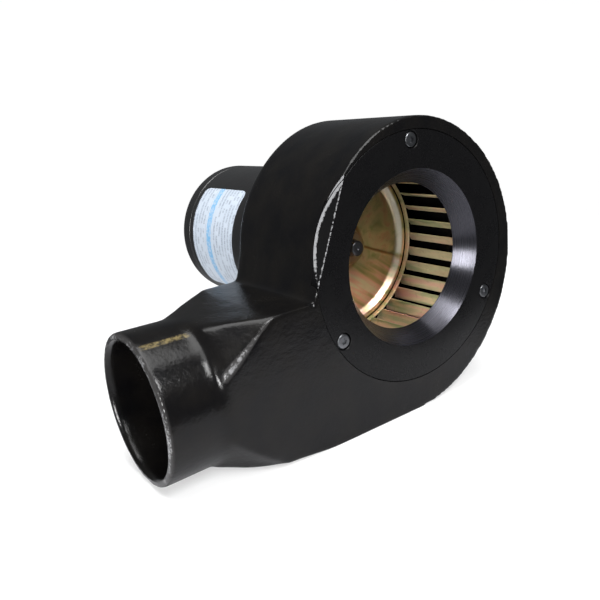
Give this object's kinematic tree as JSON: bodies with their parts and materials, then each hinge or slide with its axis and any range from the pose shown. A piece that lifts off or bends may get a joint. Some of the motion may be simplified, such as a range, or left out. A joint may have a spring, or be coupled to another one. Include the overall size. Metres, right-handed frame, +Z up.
{
  "type": "centrifugal blower",
  "caption": "Centrifugal blower: scroll housing with a round outlet tube, bevelled round inlet, forward-curved blower wheel and a cylindrical motor on one shaft.",
  "frame": {"origin": "where the shaft's axis meets the inlet face", "axes": "+Y along the shaft from the inlet to the motor, +Z up from the duct's base, -X along the outlet tube"},
  "size_m": [0.1951, 0.1594, 0.136],
  "materials": {
    "cast_black": "satin",
    "cover_black": "satin",
    "paint_black": "semi-gloss",
    "bell_grey": "cast",
    "yellow_zinc": "yellow passivated",
    "zinc_steel": "zinc plated",
    "dark_steel": "black oxide",
    "steel": "ground",
    "lamination": "matte",
    "copper": "enamelled copper",
    "aluminium": "cast",
    "cage_brass": "pressed",
    "rubber": "matte",
    "label_foil": "satin"
  },
  "bodies": {
    "housing": {"cable_grommet": "rubber", "cover_screw_1": "zinc_steel", "cover_screw_2": "zinc_steel", "cover_screw_3": "zinc_steel", "front_bearing_outer_race": "steel", "inlet_cover": "cover_black", "motor_front_bell": "bell_grey", "motor_label": "label_foil", "motor_screw_1": "zinc_steel", "motor_screw_2": "zinc_steel", "motor_screw_3": "zinc_steel", "motor_screw_4": "zinc_steel", "motor_shell": "paint_black", "rear_bearing_outer_race": "steel", "rear_end_cap": "paint_black", "rear_wave_washer": "steel", "stator_core": "lamination", "stator_winding": "copper", "tie_bolt_1": "zinc_steel", "tie_bolt_2": "zinc_steel", "tie_bolt_3": "zinc_steel", "tie_bolt_4": "zinc_steel", "volute_housing": "cast_black"},
    "rotor": {"front_bearing_inner_race": "steel", "hub_set_screw_1": "dark_steel", "hub_set_screw_2": "dark_steel", "motor_shaft": "steel", "rear_bearing_inner_race": "steel", "rotor_core": "lamination", "rotor_end_ring_front": "aluminium", "rotor_end_ring_rear": "aluminium", "wheel_back_plate": "yellow_zinc", "wheel_blade_cage": "yellow_zinc", "wheel_front_hem": "yellow_zinc", "wheel_hub": "yellow_zinc"},
    "front_cage": {"front_ball_cage": "cage_brass", "front_ball_1": "steel", "front_ball_2": "steel", "front_ball_3": "steel", "front_ball_4": "steel", "front_ball_5": "steel", "front_ball_6": "steel", "front_ball_7": "steel"},
    "rear_cage": {"rear_ball_cage": "cage_brass", "rear_ball_1": "steel", "rear_ball_2": "steel", "rear_ball_3": "steel", "rear_ball_4": "steel", "rear_ball_5": "steel", "rear_ball_6": "steel", "rear_ball_7": "steel"}
  },
  "joints": [
    {"name": "rotor_spin", "type": "hinge", "parent": "housing", "child": "rotor", "pos_m": [0, 0, 0], "axis": [0, 1, 0], "continuous": true},
    {"name": "front_cage_spin", "type": "hinge", "parent": "housing", "child": "front_cage", "pos_m": [0, 0.0733, 0], "axis": [0, 1, 0], "continuous": true},
    {"name": "rear_cage_spin", "type": "hinge", "parent": "housing", "child": "rear_cage", "pos_m": [0, 0.1503, 0], "axis": [0, 1, 0], "continuous": true}
  ],
  "couplings": [
    {"joint": "front_cage_spin", "follows": "rotor_spin", "ratio": 0.3706},
    {"joint": "rear_cage_spin", "follows": "rotor_spin", "ratio": 0.3706}
  ]
}
